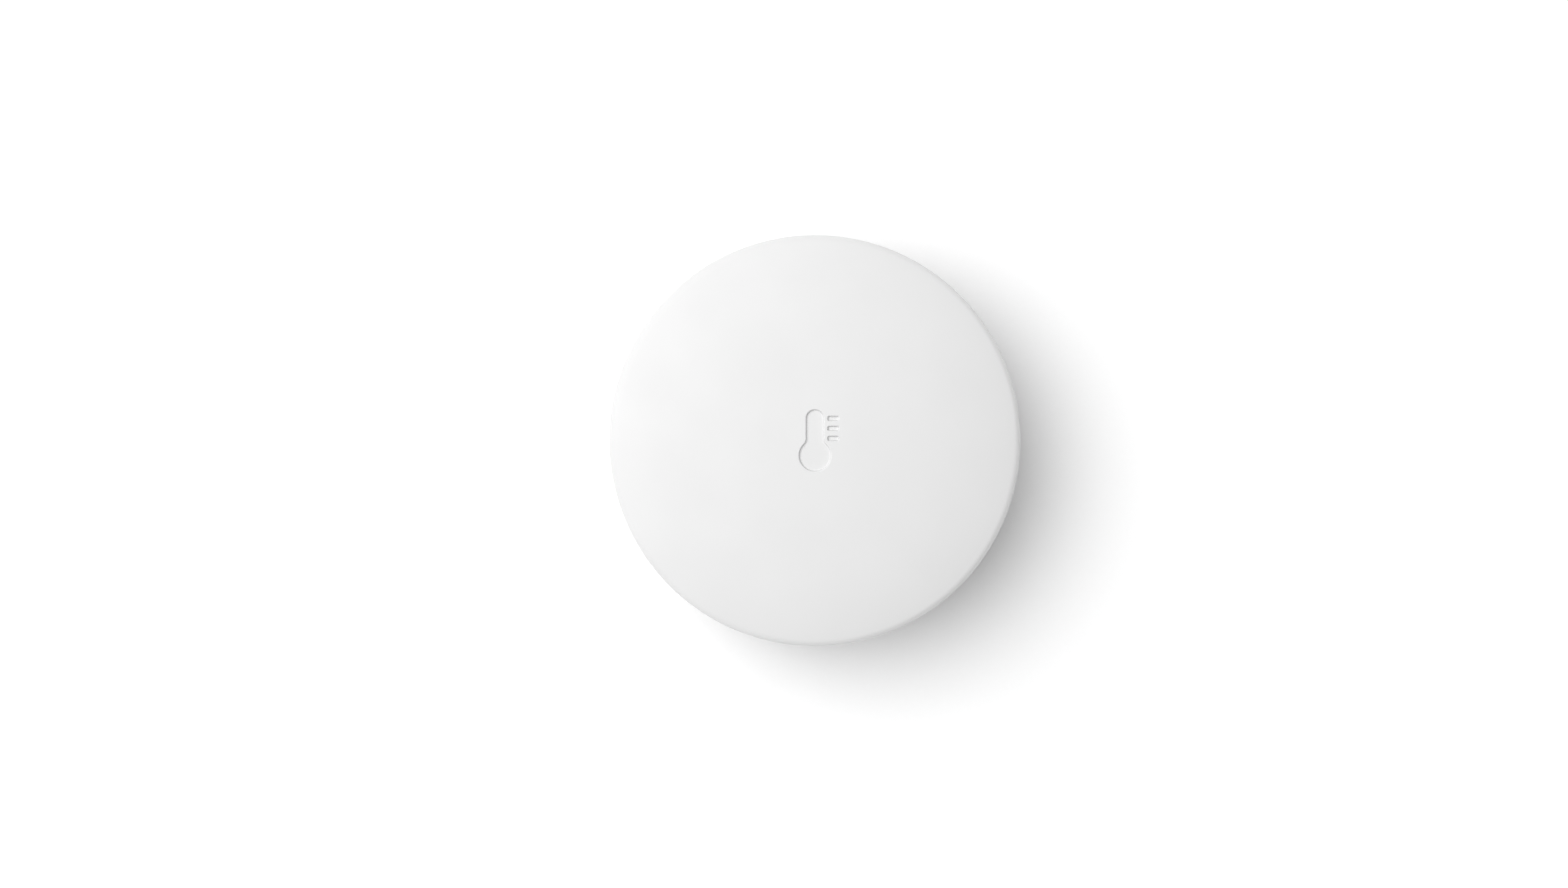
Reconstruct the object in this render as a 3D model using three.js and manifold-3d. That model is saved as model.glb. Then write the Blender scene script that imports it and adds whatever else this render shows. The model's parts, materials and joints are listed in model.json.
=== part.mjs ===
// A round wireless room sensor. A flat back cover stays on the wall or the shelf, and a domed
// housing with the circuit board and one CR2 cell pulls straight off it.
// Millimetres, +Z up. The origin is the centre of the back face, and the domed face looks along +Z.

import * as THREE from "three";
import { mergeVertices } from "three/addons/utils/BufferGeometryUtils.js";
import Module from "manifold-3d";

const wasm = await Module();
wasm.setup();

// ---- Driving dimensions ----

const slip = 0.3; // gap round a piece that slides or drops into another
const seat = 0.05; // gap under a piece that rests on another
const bite = 0.4; // how far a rib or boss runs into the wall that carries it
const past = 1; // how far a cutting tool runs past the face it cuts
const turnSteps = 64; // facets round the housing
const cellSteps = 36; // facets round the cell
const smallSteps = 24; // facets round bosses, holes and pockets

const housing = {
  diameter: 50,
  wall: 1.2,
  edgeRadius: 1, // round between the face and the side
  faceEdgeSlope: 15, // degrees that the domed face has fallen away by at its edge
  draft: 0.5, // degrees that the side opens towards the back
  headroom: 0.3, // free height between the cell and the inside of the dome
};

const base = {
  plate: 1.5,
  rim: 2.6, // height of the edge that shows below the seam
  edgeRadius: 1.6,
  inset: 0.1, // how far its edge stands in from the housing's
  seam: 0.35,
  spigotHeight: 3.8,
  spigotWall: 1.4,
};

const seal = { section: 0.9, grooveDepth: 0.7, grooveWidth: 1.1, aboveRim: 0.6 };
const notch = { width: 9, depth: 0.8, height: 0.9 }; // for a fingernail, in the rim at -Y
const key = { width: 2, depth: 1.5, height: 6, aboveGroove: 0.7 }; // stops the housing turning

const keyhole = { entry: 8.4, slot: 4.6, travel: 6, depth: 3.5, wall: 1, roof: 1, cellGap: 0.25 };
const label = { width: 16, depth: 7, thickness: 0.15, corner: 1, y: -12 };
const pad = { length: 12, width: 6, thickness: 0.5 };

const cell = {
  diameter: 15.5,
  length: 27,
  x: -1.2, // its middle
  y: -5,
  sleeve: 0.15,
  sleeveLip: 1.2, // how far the sleeve turns in over each end
  capRadius: 3,
  capHeight: 1.2,
  flangeRadius: 4.4,
  flangeThickness: 0.4,
  washerRadius: 6,
  washerThickness: 0.3,
  canRound: 0.6, // at each end of the can
  capRound: 0.4,
  washerGap: 0.6, // between the cap and the washer
};

const contact = { sheet: 0.3, width: 9, height: 9.6, tailWidth: 2, tabLength: 2.7, tabWidth: 1.5 };
const dimple = { radius: 2.4, shoulder: 1.6, tip: 1 }; // pressed into the positive contact
const spring = { wire: 0.5, turns: 3.5, wideRadius: 3.4, narrowRadius: 2.3, length: 3.5 };

const cradle = { wall: 1, rib: 0.8 };
const tray = { thickness: 1, edgeGap: 2, postRadius: 2.6 };
const board = { thickness: 1, room: 4, edgeGap: 2.2, cellGap: 0.8 }; // room is for the parts on it
const tongue = { slot: 0.8, length: 4.6, width: 4.4 }; // strip of board that keeps the sensor cool

const screw = { headRadius: 1.7, headHeight: 1.2, shankRadius: 0.85, length: 6.2, recess: 0.6 };
const boss = { radius: 2.2, screwGap: 0.15, holeGap: 0.35, edgeGap: 3.5, sideX: 12.5, sideY: 4.15 };

const shield = { width: 12, height: 8, depth: 1.8, sheet: 0.25, rise: 5.35 };
const mark = { height: 7.4, bulb: 3.8, stem: 2.1, depth: 0.3, tick: [1.3, 0.5], tickPitch: 1.2, ticks: 3 };

// ---- Sizes worked out from them ----

const radians = THREE.MathUtils.degToRad;
const cellRadius = cell.diameter / 2;
const cellBottom = base.plate + seat + pad.thickness + seat;
const cellAxis = cellBottom + cellRadius;
const cellTop = cellBottom + cell.diameter;
const cellFront = cell.x - cell.length / 2; // the positive end
const cellBack = cell.x + cell.length / 2;

const shellBottom = base.rim + base.seam;
const sideRadius = housing.diameter / 2;
const edgeFall = radians(housing.faceEdgeSlope);
const sideHeight = cellTop - shellBottom; // of the drafted side, near enough
const topRadius = sideRadius - sideHeight * Math.tan(radians(housing.draft));
const faceRadius = topRadius - housing.edgeRadius * (1 - Math.sin(edgeFall));
const crownRise = (faceRadius * Math.tan(edgeFall)) / 3;

// How far the domed face has dropped at radius r. It is nearly flat at the middle and steepest
// at the edge, where its slope is faceEdgeSlope.
function domeDrop(r) {
  const t = r / faceRadius;
  return crownRise * (0.75 * t ** 2 + 0.25 * t ** 6);
}

const cellReach = Math.hypot(Math.max(-cellFront, cellBack), cell.y);
const crown = cellTop + housing.headroom + domeDrop(cellReach) + housing.wall;
const ceiling = (r) => crown - housing.wall - domeDrop(r);
const innerRadius = sideRadius - housing.wall; // at the open end

const spigotRadius = innerRadius - slip;
const spigotInner = spigotRadius - base.spigotWall;
const spigotTop = base.rim + base.spigotHeight;
const grooveBottom = base.rim + seal.aboveRim;
const grooveTop = grooveBottom + seal.grooveWidth;
const grooveRadius = spigotRadius - seal.grooveDepth;
const keyBottom = grooveTop + key.aboveGroove;

const pocketRadius = keyhole.entry / 2 + slip;
const pocketTop = base.plate + keyhole.depth;
const hoodRadius = pocketRadius + keyhole.wall;
const hoodTop = pocketTop + keyhole.roof;
const keyholeY = cell.y + cellRadius + keyhole.cellGap + hoodRadius;

const boardBack = hoodTop + board.room;
const boardFront = boardBack + board.thickness;
const trayBack = boardFront + seat;
const trayFront = trayBack + tray.thickness;
const bayHalf = cellRadius + slip + seat; // half the width of the cell's bay
const contactPlane = spring.length + cellBack; // face of the negative contact
const contactTailTop = boardBack - seat;
const bayEnd = contactPlane + contact.sheet + seat;
const cradleEnd = bayEnd + cradle.wall;
const cradleLow = cell.y - bayHalf - cradle.wall;
const cradleHigh = cell.y + bayHalf + cradle.wall;
const cradleReach = Math.hypot(cradleEnd, cradleLow);
const cradleTop = ceiling(cradleReach) - slip;
const cradleBottom = Math.max(spigotTop, hoodTop) + slip;
const boardLow = cradleHigh + board.cellGap;
const boardRadius = innerRadius - board.edgeGap;
const trayRadius = innerRadius - tray.edgeGap;

const screwSeat = boardBack - seat;
const screwTop = screwSeat + screw.length;
const boreRadius = screw.shankRadius + boss.screwGap;
const holeRadius = screw.shankRadius + boss.holeGap;
const postPlace = [0, boss.edgeGap - trayRadius]; // the one screw that holds the tray alone
const bossPlaces = [
  [-boss.sideX, boardLow + boss.sideY],
  [boss.sideX, boardLow + boss.sideY],
  [0, boardRadius - boss.edgeGap],
  postPlace,
];
const shieldY = boardLow + shield.rise;
const sensorX = boardRadius - tongue.width / 2;

// ---- Solids ----

// A three.js geometry as a manifold solid, with its vertices joined by place.
function solid(geometry) {
  const bare = geometry.index ? geometry.toNonIndexed() : geometry;
  bare.deleteAttribute("normal");
  bare.deleteAttribute("uv");
  const welded = mergeVertices(bare, 1e-4);
  return new wasm.Manifold(
    new wasm.Mesh({
      numProp: 3,
      vertProperties: welded.attributes.position.array,
      triVerts: new Uint32Array(welded.index.array),
    }),
  );
}

const join = (first, ...others) => others.reduce((whole, other) => whole.add(other), first);
const cut = (first, ...tools) => tools.reduce((whole, tool) => whole.subtract(tool), first);

// Puts the ends of a straight-sided geometry exactly at z0 and z1, so that faces that should be
// level with each other are.
function between(geometry, z0, z1) {
  geometry.computeBoundingBox();
  const middle = (geometry.boundingBox.min.z + geometry.boundingBox.max.z) / 2;
  const places = geometry.attributes.position;
  for (let i = 0; i < places.count; i++) places.setZ(i, places.getZ(i) < middle ? z0 : z1);
  return solid(geometry);
}

function block(x0, x1, y0, y1, z0, z1) {
  const geometry = new THREE.BoxGeometry(1, 1, 1);
  const places = geometry.attributes.position;
  for (let i = 0; i < places.count; i++) {
    places.setXY(i, places.getX(i) < 0 ? x0 : x1, places.getY(i) < 0 ? y0 : y1);
  }
  return between(geometry, z0, z1);
}

// A block given by the middle of its face on the plane z0, with its size upwards.
function blockAt(x, y, z0, width, height, thickness) {
  return block(x - width / 2, x + width / 2, y - height / 2, y + height / 2, z0, z0 + thickness);
}

function rod(x, y, z0, z1, radius, steps = smallSteps) {
  const geometry = new THREE.CylinderGeometry(radius, radius, 1, steps);
  return between(geometry.rotateX(Math.PI / 2).translate(x, y, 0), z0, z1);
}

// A [radius, height] outline turned about +Z. It runs up the outside, from axis to axis or closed.
function turned(outline, steps = turnSteps) {
  const points = outline.map(([r, z]) => new THREE.Vector2(r, z));
  return new THREE.LatheGeometry(points, steps).rotateX(Math.PI / 2);
}

function flat(shape, z0, z1) {
  const options = { depth: 1, bevelEnabled: false, curveSegments: smallSteps / 2 };
  return between(new THREE.ExtrudeGeometry(shape, options), z0, z1);
}

function roundedPlate(x, y, width, height, corner) {
  const [left, right] = [x - width / 2, x + width / 2];
  const [low, high] = [y - height / 2, y + height / 2];
  const shape = new THREE.Shape();
  shape.absarc(right - corner, low + corner, corner, -Math.PI / 2, 0);
  shape.absarc(right - corner, high - corner, corner, 0, Math.PI / 2);
  shape.absarc(left + corner, high - corner, corner, Math.PI / 2, Math.PI);
  shape.absarc(left + corner, low + corner, corner, Math.PI, 1.5 * Math.PI);
  return shape;
}

// A slot with round ends, standing along Y.
function upright(x, y0, y1, radius) {
  const shape = new THREE.Shape();
  shape.absarc(x, y0, radius, Math.PI, 2 * Math.PI);
  shape.absarc(x, y1, radius, 0, Math.PI);
  return shape;
}

// Points of an arc from one angle to another, in degrees from the outward direction.
function arc(r, z, radius, from, to, steps) {
  return Array.from({ length: steps + 1 }, (_, i) => {
    const angle = radians(from + ((to - from) * i) / steps);
    return [r + radius * Math.cos(angle), z + radius * Math.sin(angle)];
  });
}

// ---- The mark on the face, a plain thermometer ----

function markSolid(z0, z1) {
  const bulbRadius = mark.bulb / 2;
  const stemRadius = mark.stem / 2;
  const low = -mark.height / 2 + bulbRadius;
  const high = mark.height / 2 - stemRadius;
  const bulb = rod(0, low, z0, z1, bulbRadius);
  const stem = flat(upright(0, low, high, stemRadius), z0, z1);
  const tickX = stemRadius + mark.tick[1] + mark.tick[0] / 2;
  const tickAt = (i) => blockAt(tickX, high - i * mark.tickPitch, z0, ...mark.tick, z1 - z0);
  return join(bulb, stem, ...Array.from({ length: mark.ticks }, (_, i) => tickAt(i)));
}

// ---- Housing ----

function frontShell() {
  const roundHeight = crown - crownRise - housing.edgeRadius * Math.cos(edgeFall);
  const roundRadius = topRadius - housing.edgeRadius;
  const dome = (count, reach, height) =>
    Array.from({ length: count }, (_, i) => {
      const r = (reach * i) / count;
      return [r, height(r)];
    });
  const innerTop = topRadius - housing.wall;
  const outline = [
    ...dome(5, innerTop, ceiling),
    [innerTop, ceiling(innerTop)],
    [innerRadius, shellBottom],
    [sideRadius, shellBottom],
    ...arc(roundRadius, roundHeight, housing.edgeRadius, 0, 90 - housing.faceEdgeSlope, 5),
    ...dome(9, faceRadius, (r) => crown - domeDrop(r)).reverse(),
  ];
  const shell = solid(turned(outline));
  const bosses = bossPlaces.map(([x, y]) => {
    const top = ceiling(Math.hypot(x, y)) + bite;
    return rod(x, y, trayFront + seat, top, boss.radius);
  });
  const bores = bossPlaces.map(([x, y]) => rod(x, y, trayFront - past, screwTop + slip, boreRadius));
  const keyInner = innerRadius - key.depth;
  const rib = block(
    -key.width / 2, key.width / 2,
    keyInner, innerRadius + bite,
    keyBottom + slip, keyBottom + slip + key.height,
  );
  const markCut = markSolid(crown - mark.depth, crown + past);
  return cut(join(shell, rib, ...bosses), ...bores, markCut);
}

// The tray that the board is screwed to, in one piece with the cell's cradle.
function chassis() {
  const disc = rod(0, 0, trayBack, trayFront, trayRadius, turnSteps);
  const post = rod(...postPlace, boardBack, trayBack + bite, tray.postRadius);
  const walls = block(-cradleEnd, cradleEnd, cradleLow, cradleHigh, cradleBottom, cradleTop);
  const bay = block(
    -bayEnd, bayEnd,
    cell.y - bayHalf, cell.y + bayHalf,
    cradleBottom - past, cradleTop + past,
  );
  const guides = [-1, 1].flatMap((end) =>
    [-1, 1].map((side) => {
      const face = end * (contactPlane - seat);
      const x = [face, face - end * cradle.rib].sort((a, b) => a - b);
      const edge = cell.y + (side * contact.width) / 2;
      const y = [edge, edge + side * (bayHalf + bite - contact.width / 2)].sort((a, b) => a - b);
      const drop = side > 0 ? contactTailTop + slip : cradleBottom;
      return block(...x, ...y, drop, cradleTop);
    }),
  );
  const tailGaps = [-1, 1].map((end) => {
    const middle = end * (contactPlane + contact.sheet / 2);
    const half = contact.sheet / 2 + slip;
    const high = cradleHigh + past;
    return block(middle - half, middle + half, cell.y + bayHalf - past, high, 0, contactTailTop + slip);
  });
  const holes = bossPlaces.map(([x, y]) => rod(x, y, 0, trayFront + past, holeRadius));
  return cut(join(cut(join(disc, post, walls), bay), ...guides), ...tailGaps, ...holes);
}

function mainBoard() {
  const disc = rod(0, 0, boardBack, boardFront, boardRadius, turnSteps);
  const away = block(-sideRadius, sideRadius, -sideRadius, boardLow, 0, crown);
  const holes = bossPlaces.map(([x, y]) => rod(x, y, 0, crown, holeRadius));
  const slotX = boardRadius - tongue.width;
  const slotEnds = [boardLow - past, boardLow + tongue.length];
  const slotSolid = flat(upright(slotX, ...slotEnds, tongue.slot / 2), boardBack - past, boardFront + past);
  return cut(disc, away, slotSolid, ...holes);
}

// Parts soldered to the board hang below its back face. Their y is counted from its straight edge.
function soldered(x, y, width, height, thickness) {
  return blockAt(x, boardLow + y, boardBack - seat - thickness, width, height, thickness);
}

function shieldCan() {
  const { width, height, depth, sheet, rise } = shield;
  const can = soldered(0, rise, width, height, depth);
  const inside = [width - 2 * sheet, height - 2 * sheet, depth];
  return cut(can, blockAt(0, shieldY, boardBack - seat - depth + sheet, ...inside));
}

// A contact plate at one end of the cell, -1 for the positive end or 1 for the negative. Its tail
// runs level beside the cell and ends in a tab under the board.
function contactPlate(end) {
  const plane = end * contactPlane;
  const back = end * (contactPlane + contact.sheet);
  const x = [plane, back].sort((a, b) => a - b);
  const low = cell.y - contact.width / 2;
  const high = cell.y + contact.width / 2;
  const tabY = boardLow + slip;
  const tabHigh = tabY + contact.tabWidth;
  const plate = block(...x, low, high, cellAxis - contact.height / 2, cellAxis + contact.height / 2);
  const tail = block(...x, high - bite, tabHigh, contactTailTop - contact.tailWidth, contactTailTop);
  const tabX = [back, back - end * contact.tabLength].sort((a, b) => a - b);
  const tab = block(...tabX, tabY, tabHigh, contactTailTop - contact.sheet, contactTailTop);
  return join(plate, tail, tab);
}

// The dimple reaches the cell's cap.
function dimpleSolid() {
  const { radius, shoulder, tip } = dimple;
  const reach = contactPlane + cellFront;
  const outline = [[0, 0], [radius, 0], [shoulder, reach * 0.7], [tip, reach], [0, reach]];
  const turnedDimple = turned(outline, smallSteps).rotateY(Math.PI / 2);
  return solid(turnedDimple.translate(-contactPlane - seat, cell.y, cellAxis));
}

class Cone extends THREE.Curve {
  getPoint(t) {
    const angle = 2 * Math.PI * spring.turns * t;
    const radius = THREE.MathUtils.lerp(spring.narrowRadius, spring.wideRadius, t);
    const room = spring.length - spring.wire - 2 * seat;
    const x = cellBack + seat + spring.wire / 2 + room * t;
    return new THREE.Vector3(x, cell.y + radius * Math.cos(angle), cellAxis + radius * Math.sin(angle));
  }
}

function negativeSpring() {
  const section = new THREE.Shape();
  section.absarc(0, 0, spring.wire / 2, 0, 2 * Math.PI);
  const options = { extrudePath: new Cone(), steps: 56, curveSegments: 4, bevelEnabled: false };
  return solid(new THREE.ExtrudeGeometry(section, options));
}

function fixingScrew([x, y]) {
  const head = rod(x, y, screwSeat - screw.headHeight, screwSeat, screw.headRadius);
  const shank = rod(x, y, screwSeat - seat, screwTop, screw.shankRadius, smallSteps / 2);
  const face = screwSeat - screw.headHeight - past;
  const slotLength = 2 * screw.shankRadius;
  const recess = [[slotLength, screw.recess / 2], [screw.recess / 2, slotLength]].map(([width, height]) =>
    blockAt(x, y, face, width, height, past + screw.recess),
  );
  return cut(join(head, shank), ...recess);
}

// ---- Cell, turned about +X with its positive end at -X ----

function cellPiece(outline) {
  const geometry = turned(outline, cellSteps).rotateY(-Math.PI / 2);
  return solid(geometry.translate(cellBack, cell.y, cellAxis));
}

const canLength = cell.length - cell.capHeight;
const canRadius = cellRadius - cell.sleeve - seat;

function batteryCan() {
  const low = cell.canRound;
  const high = canLength - cell.canRound;
  const recessRadius = cell.washerRadius + seat;
  const recess = canLength - cell.washerThickness - seat - cell.flangeThickness;
  return cellPiece([
    [0, 0],
    [canRadius - cell.canRound, 0],
    [canRadius, low],
    [canRadius, high],
    [canRadius - cell.canRound, canLength],
    [recessRadius, canLength],
    [recessRadius, recess],
    [0, recess],
  ]);
}

function batteryCap() {
  const low = canLength - cell.washerThickness - cell.flangeThickness;
  const flangeTop = low + cell.flangeThickness - seat;
  const fillet = cell.washerGap / 2;
  return cellPiece([
    [0, low],
    [cell.flangeRadius, low],
    [cell.flangeRadius, flangeTop],
    [cell.capRadius + fillet, flangeTop],
    [cell.capRadius, flangeTop + fillet],
    [cell.capRadius, cell.length - cell.capRound],
    [cell.capRadius - cell.capRound, cell.length],
    [0, cell.length],
  ]);
}

function batteryWasher() {
  const low = canLength - cell.washerThickness;
  const inner = cell.capRadius + cell.washerGap;
  return cellPiece([
    [inner, low],
    [cell.washerRadius, low],
    [cell.washerRadius, canLength - seat],
    [inner, canLength - seat],
    [inner, low],
  ]);
}

function batterySleeve() {
  const inner = canRadius + seat;
  const lip = cellRadius - cell.sleeveLip;
  const shoulder = cellRadius - cell.canRound / 2;
  const innerShoulder = inner - cell.canRound;
  const [low, high] = [cell.canRound / 2, canLength - cell.canRound / 2];
  const [under, over] = [-seat - cell.sleeve, canLength + seat + cell.sleeve];
  return cellPiece([
    [lip, under],
    [shoulder, under],
    [cellRadius, low],
    [cellRadius, high],
    [shoulder, over],
    [lip, over],
    [lip, canLength + seat],
    [innerShoulder, canLength + seat],
    [inner, high],
    [inner, low],
    [innerShoulder, -seat],
    [lip, -seat],
    [lip, under],
  ]);
}

// ---- Back cover and what is on it ----

function backCover() {
  const edge = sideRadius - base.inset;
  const bottomRound = arc(edge - base.edgeRadius, base.edgeRadius, base.edgeRadius, -90, 0, 5);
  const outline = [
    [0, 0],
    ...bottomRound,
    [edge, base.rim],
    [spigotRadius, base.rim],
    [spigotRadius, grooveBottom],
    [grooveRadius, grooveBottom],
    [grooveRadius, grooveTop],
    [spigotRadius, grooveTop],
    [spigotRadius, spigotTop],
    [spigotInner, spigotTop],
    [spigotInner, base.plate],
    [0, base.plate],
  ];
  const track = [0, keyholeY, keyholeY + keyhole.travel];
  const hood = flat(upright(...track, hoodRadius), base.plate - bite, hoodTop);
  const pocket = flat(upright(...track, pocketRadius), base.plate, pocketTop);
  const entryHole = rod(0, keyholeY, -past, base.plate + past, keyhole.entry / 2);
  const slotHole = flat(upright(...track, keyhole.slot / 2), -past, base.plate + past);
  const labelBed = roundedPlate(0, label.y, label.width + slip, label.depth + slip, label.corner);
  const nail = block(
    -notch.width / 2, notch.width / 2,
    -edge - past, -edge + notch.depth,
    base.rim - notch.height, base.rim + base.seam / 2,
  );
  const keyGap = key.width / 2 + slip;
  const keyway = block(-keyGap, keyGap, 0, sideRadius, keyBottom, spigotTop + past);
  const keywayHere = cut(keyway, rod(0, 0, 0, crown, spigotInner - past));
  const plate = solid(turned(outline));
  return cut(
    join(plate, hood),
    pocket,
    entryHole,
    slotHole,
    flat(labelBed, -past, labelTop + seat),
    nail,
    keywayHere,
  );
}

const labelBottom = seat; // the label stays clear of what the cover rests on
const labelTop = labelBottom + label.thickness;

function sealRing() {
  const radius = seal.section / 2;
  const middle = grooveRadius + seat + radius;
  const height = (grooveBottom + grooveTop) / 2;
  return solid(turned(arc(middle, height, radius, -180, 180, 8)));
}

// ---- Finishes ----

const finish = (color, roughness, metalness = 0) =>
  new THREE.MeshStandardMaterial({ color, roughness, metalness });
const finishes = {
  casing: finish(0xf4f4f4, 0.55),
  frame: finish(0xd9dadb, 0.6),
  rubber: finish(0x55585b, 0.85),
  foam: finish(0x2c2d2f, 0.95),
  label: finish(0xe9e9e7, 0.5),
  board: finish(0x1f5a3c, 0.45),
  chip: finish(0x1c1d1f, 0.5),
  ceramic: finish(0xb79a72, 0.6),
  tin: finish(0xb9bcc0, 0.35, 1),
  steel: finish(0xa6a9ad, 0.3, 1),
  nickel: finish(0xc7c4ba, 0.28, 1),
  sleeve: finish(0x2f5f9e, 0.35),
};

const part = new THREE.Group();

function add(name, body, material) {
  const { vertProperties, triVerts } = body.getMesh();
  const geometry = new THREE.BufferGeometry();
  geometry.setAttribute("position", new THREE.BufferAttribute(vertProperties.slice(), 3));
  geometry.setIndex(new THREE.BufferAttribute(triVerts.slice(), 1));
  geometry.computeVertexNormals();
  const mesh = new THREE.Mesh(geometry, material);
  mesh.name = name;
  part.add(mesh);
}

add("back_cover", backCover(), finishes.casing);
add("seal_ring", sealRing(), finishes.rubber);
add(
  "battery_pad",
  blockAt(cell.x, cell.y, base.plate + seat, pad.length, pad.width, pad.thickness),
  finishes.foam,
);
add(
  "rating_label",
  flat(roundedPlate(0, label.y, label.width, label.depth, label.corner), labelBottom, labelTop),
  finishes.label,
);

add("front_shell", frontShell(), finishes.casing);
add("chassis", chassis(), finishes.frame);
add("main_board", mainBoard(), finishes.board);
add("shield_can", shieldCan(), finishes.tin);

// name, x, y from the board's straight edge, width, height, thickness, finish
const boardParts = [
  ["radio_chip", -1.8, shield.rise, 6, 6, 0.9, finishes.chip],
  ["radio_crystal", 3.6, shield.rise, 2.5, 2, 0.6, finishes.tin],
  ["memory_chip", -9.2, 9.9, 5, 4, 1, finishes.chip],
  ["temperature_sensor", sensorX, 1.9, 1.5, 1.5, 0.6, finishes.chip],
  ["clock_crystal", 8.6, 7.7, 3.2, 1.5, 0.8, finishes.tin],
  ["antenna", 8.4, 11.1, 7, 2, 1, finishes.ceramic],
  ["bulk_capacitor", -17, 3.9, 3.5, 2.8, 1.9, finishes.ceramic],
  ["inductor", 8.7, 1.5, 2.5, 2, 1.1, finishes.chip],
  ["capacitor_1", -8.6, 5.7, 1.6, 0.8, 0.8, finishes.ceramic],
  ["capacitor_2", -8.6, 3.9, 1.6, 0.8, 0.8, finishes.ceramic],
  ["capacitor_3", -8.6, 2.1, 1.6, 0.8, 0.8, finishes.ceramic],
  ["capacitor_4", 8.7, 4.3, 1.6, 0.8, 0.8, finishes.ceramic],
];
boardParts.forEach(([name, x, y, width, height, thickness, material]) =>
  add(name, soldered(x, y, width, height, thickness), material),
);

add("positive_contact", join(contactPlate(-1), dimpleSolid()), finishes.nickel);
add("negative_contact", contactPlate(1), finishes.nickel);
add("negative_spring", negativeSpring(), finishes.nickel);

bossPlaces.forEach((place, i) => add(`screw_${i + 1}`, fixingScrew(place), finishes.steel));

add("battery_can", batteryCan(), finishes.steel);
add("battery_sleeve", batterySleeve(), finishes.sleeve);
add("battery_cap", batteryCap(), finishes.nickel);
add("battery_washer", batteryWasher(), finishes.foam);

export default part;
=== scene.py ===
import json
import math
import bmesh
import bpy
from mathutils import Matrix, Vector


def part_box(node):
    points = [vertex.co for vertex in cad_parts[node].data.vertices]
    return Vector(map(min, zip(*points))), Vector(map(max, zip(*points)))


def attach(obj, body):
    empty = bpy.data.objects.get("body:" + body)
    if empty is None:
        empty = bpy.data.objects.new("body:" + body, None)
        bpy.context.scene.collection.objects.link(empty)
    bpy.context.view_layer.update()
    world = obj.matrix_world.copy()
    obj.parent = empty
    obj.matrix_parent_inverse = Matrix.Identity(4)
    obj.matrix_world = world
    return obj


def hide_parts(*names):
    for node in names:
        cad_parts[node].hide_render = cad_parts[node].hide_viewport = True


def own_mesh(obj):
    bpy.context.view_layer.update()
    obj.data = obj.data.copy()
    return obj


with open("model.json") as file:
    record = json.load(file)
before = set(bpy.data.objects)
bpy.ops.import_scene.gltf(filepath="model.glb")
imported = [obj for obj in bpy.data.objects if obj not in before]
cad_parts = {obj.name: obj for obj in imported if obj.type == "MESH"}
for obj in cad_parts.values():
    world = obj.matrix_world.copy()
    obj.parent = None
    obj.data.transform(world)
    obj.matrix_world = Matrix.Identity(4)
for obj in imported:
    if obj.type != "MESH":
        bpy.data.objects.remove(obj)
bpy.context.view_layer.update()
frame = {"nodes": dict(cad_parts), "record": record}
mm = 0.001
print("frame loaded,", len(frame["nodes"]), "nodes")


# small helpers

def linear(hexColour):
    parts = [int(hexColour[i:i + 2], 16) / 255 for i in (1, 3, 5)]
    return [p / 12.92 if p <= 0.04045 else ((p + 0.055) / 1.055) ** 2.4 for p in parts] + [1]


def addNode(tree, kind, settings=None, links=None):
    node = tree.nodes.new(kind)
    for name, value in (settings or {}).items():
        if isinstance(name, int) or name in node.inputs:
            node.inputs[name].default_value = value
        else:
            setattr(node, name, value)
    for name, source in (links or {}).items():
        tree.links.new(source, node.inputs[name])
    return node


def smoothStep(edge0, edge1, value):
    t = min(max((value - edge0) / (edge1 - edge0), 0), 1)
    return t * t * (3 - 2 * t)


def arc(r, z, radius, start, end, steps):
    angles = [math.radians(start + (end - start) * i / steps) for i in range(steps + 1)]
    return [(r + radius * math.cos(a), z + radius * math.sin(a)) for a in angles]


def upright(x, y, z):
    return x * mm, y * mm, z * mm


def turned(work, outline, steps, put=upright):
    # an outline of (radius, height) in mm turned about +Z, from axis to axis or closed on itself
    turns = [(math.cos(2 * math.pi * i / steps), math.sin(2 * math.pi * i / steps)) for i in range(steps)]
    rings = []
    for r, z in outline:
        around = turns if r > 1e-6 else [(0, 0)]
        rings.append([work.verts.new(put(r * c, r * s, z)) for c, s in around])
    for low, high in zip(rings, rings[1:]):
        for i in range(steps):
            corners = [low[i % len(low)], low[(i + 1) % steps % len(low)],
                       high[(i + 1) % steps % len(high)], high[i % len(high)]]
            work.faces.new(list(dict.fromkeys(corners)))
    return work


def smoothed(mesh, sharpAngle=35):
    mesh.shade_smooth()
    mesh.set_sharp_from_angle(angle=math.radians(sharpAngle))


def finished(work, name, sharpAngle=35):
    # the built mesh as an object at the origin, smooth except at its sharp edges
    bmesh.ops.remove_doubles(work, verts=work.verts, dist=1e-7)
    bmesh.ops.recalc_face_normals(work, faces=work.faces)
    mesh = bpy.data.meshes.new(name)
    work.to_mesh(mesh)
    work.free()
    smoothed(mesh, sharpAngle)
    piece = bpy.data.objects.new(name, mesh)
    bpy.context.scene.collection.objects.link(piece)
    return piece


def standing(work, outline, z0, z1):
    # a flat outline of (x, y) in mm pulled up from z0 to z1
    low, high = [[work.verts.new(upright(x, y, z)) for x, y in outline] for z in (z0, z1)]
    work.faces.new(low[::-1])
    work.faces.new(high)
    for i, vertex in enumerate(low):
        j = (i + 1) % len(low)
        work.faces.new((vertex, low[j], high[j], high[i]))
    return work


def roundedOutline(x, y, width, height, corner, steps=8):
    outline = []
    for k, (sx, sy) in enumerate(((1, 1), (-1, 1), (-1, -1), (1, -1))):
        centre = (x + sx * (width / 2 - corner), y + sy * (height / 2 - corner))
        outline += arc(*centre, corner, 90 * k, 90 * k + 90, steps)
    return outline


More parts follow.
